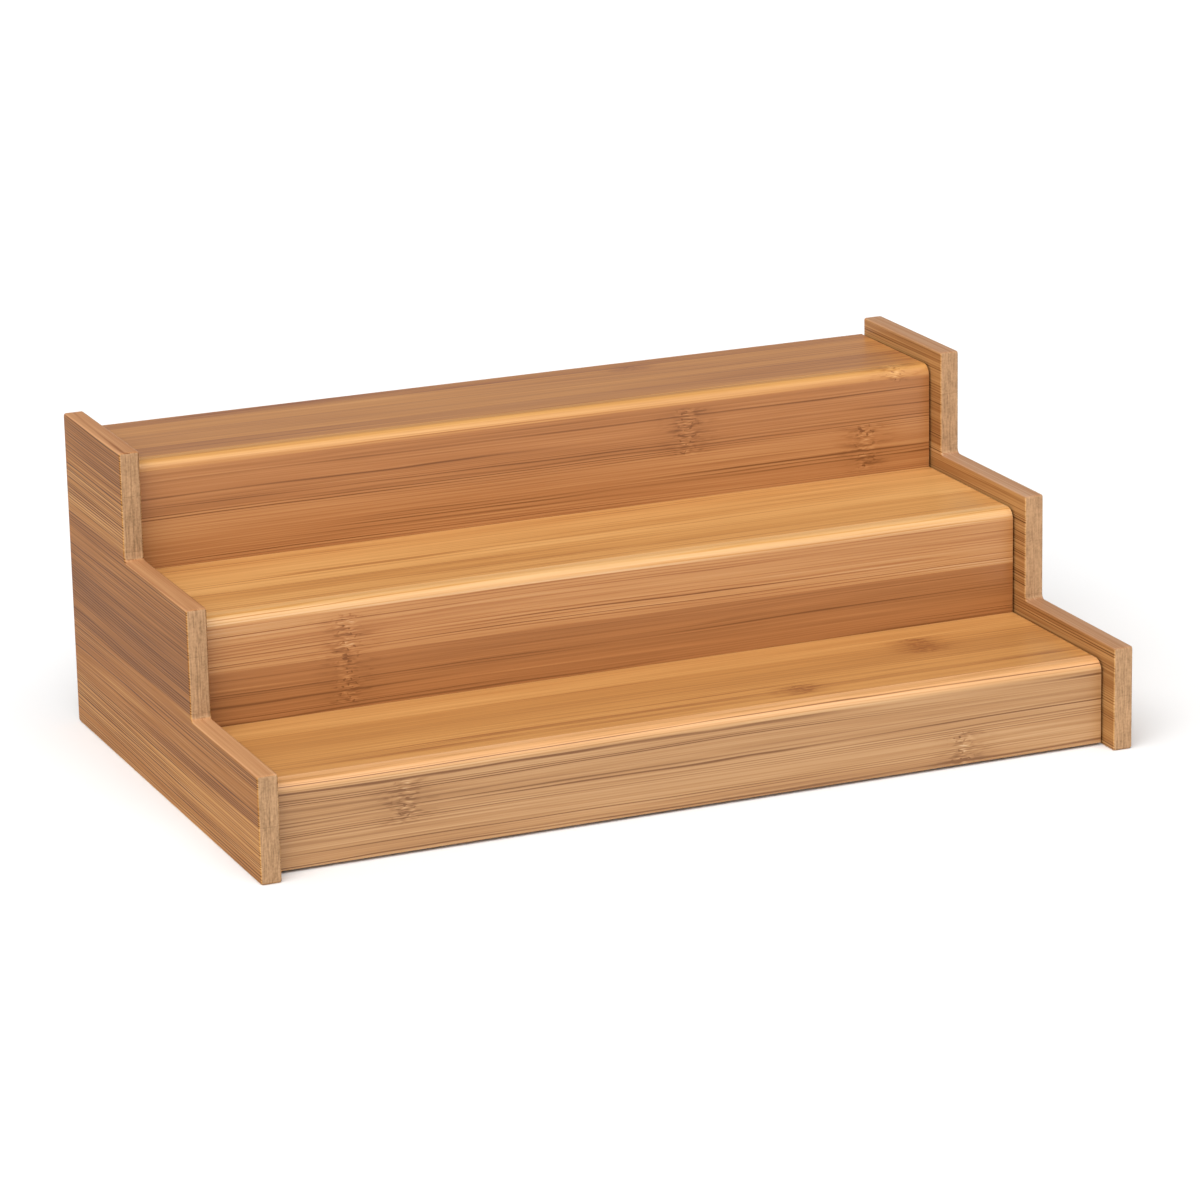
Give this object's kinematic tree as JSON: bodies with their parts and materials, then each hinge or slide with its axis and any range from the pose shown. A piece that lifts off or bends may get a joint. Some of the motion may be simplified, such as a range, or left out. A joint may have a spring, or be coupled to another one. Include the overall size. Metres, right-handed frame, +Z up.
{
  "type": "tiered shelf riser",
  "caption": "Extendable stepped shelf riser in laminated bamboo: nested stepped halves with stepped side panels slide apart lengthwise to make the tiers longer.",
  "frame": {"origin": "centre of the closed riser's footprint, on the surface that it stands on", "axes": "+X along the treads, from the outer half's side panel towards the inner half's; the steps face -Y, rising towards +Y; +Z up"},
  "size_m": [0.31, 0.19, 0.11],
  "materials": {
    "tread_bamboo": "satin",
    "riser_bamboo": "satin",
    "panel_bamboo": "satin",
    "dowel_wood": "matte"
  },
  "bodies": {
    "outer_half": {"dowel_left_riser_front_1": "dowel_wood", "dowel_left_riser_middle_1": "dowel_wood", "dowel_left_riser_top_1": "dowel_wood", "dowel_left_tread_front_1": "dowel_wood", "dowel_left_tread_front_2": "dowel_wood", "dowel_left_tread_middle_1": "dowel_wood", "dowel_left_tread_middle_2": "dowel_wood", "dowel_left_tread_top_1": "dowel_wood", "dowel_left_tread_top_2": "dowel_wood", "left_side_panel": "panel_bamboo", "outer_riser_front": "riser_bamboo", "outer_riser_middle": "riser_bamboo", "outer_riser_top": "riser_bamboo", "outer_tread_front": "tread_bamboo", "outer_tread_middle": "tread_bamboo", "outer_tread_top": "tread_bamboo"},
    "inner_half": {"dowel_end_riser_front_1": "dowel_wood", "dowel_end_riser_middle_1": "dowel_wood", "dowel_end_riser_top_1": "dowel_wood", "dowel_end_tread_front_1": "dowel_wood", "dowel_end_tread_front_2": "dowel_wood", "dowel_end_tread_middle_1": "dowel_wood", "dowel_end_tread_middle_2": "dowel_wood", "dowel_end_tread_top_1": "dowel_wood", "dowel_end_tread_top_2": "dowel_wood", "dowel_right_riser_front_1": "dowel_wood", "dowel_right_riser_middle_1": "dowel_wood", "dowel_right_riser_top_1": "dowel_wood", "dowel_right_tread_front_1": "dowel_wood", "dowel_right_tread_front_2": "dowel_wood", "dowel_right_tread_middle_1": "dowel_wood", "dowel_right_tread_middle_2": "dowel_wood", "dowel_right_tread_top_1": "dowel_wood", "dowel_right_tread_top_2": "dowel_wood", "guide_peg_front": "dowel_wood", "guide_peg_top": "dowel_wood", "inner_end_panel": "panel_bamboo", "inner_riser_front": "riser_bamboo", "inner_riser_middle": "riser_bamboo", "inner_riser_top": "riser_bamboo", "inner_tread_front": "tread_bamboo", "inner_tread_middle": "tread_bamboo", "inner_tread_top": "tread_bamboo", "right_side_panel": "panel_bamboo"}
  },
  "joints": [
    {"name": "extension_slide", "type": "slide", "parent": "outer_half", "child": "inner_half", "axis": [1, 0, 0], "range_m": [0, 0.19]}
  ]
}
